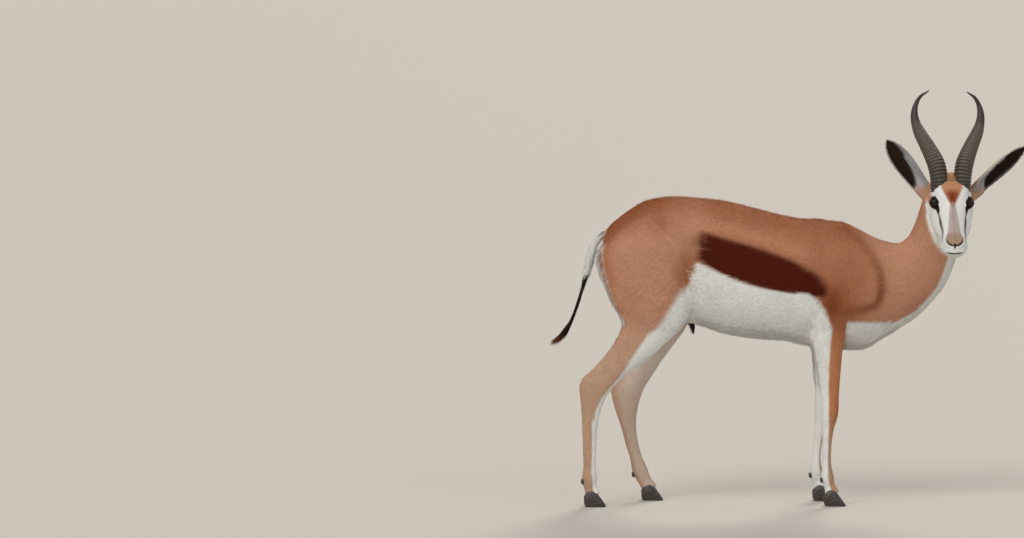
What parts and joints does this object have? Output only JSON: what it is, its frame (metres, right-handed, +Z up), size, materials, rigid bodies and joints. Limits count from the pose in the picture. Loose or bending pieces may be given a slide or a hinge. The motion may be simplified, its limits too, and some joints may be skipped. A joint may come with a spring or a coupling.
{
  "type": "springbok figure",
  "caption": "Life-size still figure of an adult springbok ram, standing side-on with its head turned to its right, lyre-shaped ringed horns, dark flank stripe and tufted tail.",
  "frame": {"origin": "middle of the figure's bounding box in plan, at floor level, under the hooves", "axes": "+X the way the body faces, +Y its left side, +Z up; the face points towards -Y"},
  "size_m": [1.2786, 0.3096, 1.1191],
  "materials": {
    "fawn_hair": "short smooth hair",
    "white_hair": "short smooth hair",
    "dark_hair": "long coarse hair",
    "horn": "ringed horn, satin",
    "hoof": "smooth horn, satin",
    "eye": "wet gloss"
  },
  "bodies": {
    "root": {"torso": "fawn_hair", "neck": "fawn_hair", "head": "white_hair", "tail": "white_hair", "tail_tuft": "dark_hair", "sheath": "dark_hair", "ear_right": "fawn_hair", "ear_left": "fawn_hair", "horn_right": "horn", "horn_left": "horn", "eye_right": "eye", "eye_left": "eye", "leg_hind_right_upper": "fawn_hair", "leg_hind_right_cannon": "fawn_hair", "leg_hind_right_pastern": "fawn_hair", "hoof_hind_right_outer": "hoof", "hoof_hind_right_inner": "hoof", "leg_hind_left_upper": "fawn_hair", "leg_hind_left_cannon": "fawn_hair", "leg_hind_left_pastern": "fawn_hair", "hoof_hind_left_outer": "hoof", "hoof_hind_left_inner": "hoof", "leg_fore_right_upper": "fawn_hair", "leg_fore_right_cannon": "fawn_hair", "leg_fore_right_pastern": "fawn_hair", "hoof_fore_right_outer": "hoof", "hoof_fore_right_inner": "hoof", "leg_fore_left_upper": "fawn_hair", "leg_fore_left_cannon": "fawn_hair", "leg_fore_left_pastern": "fawn_hair", "hoof_fore_left_outer": "hoof", "hoof_fore_left_inner": "hoof"}
  },
  "joints": []
}
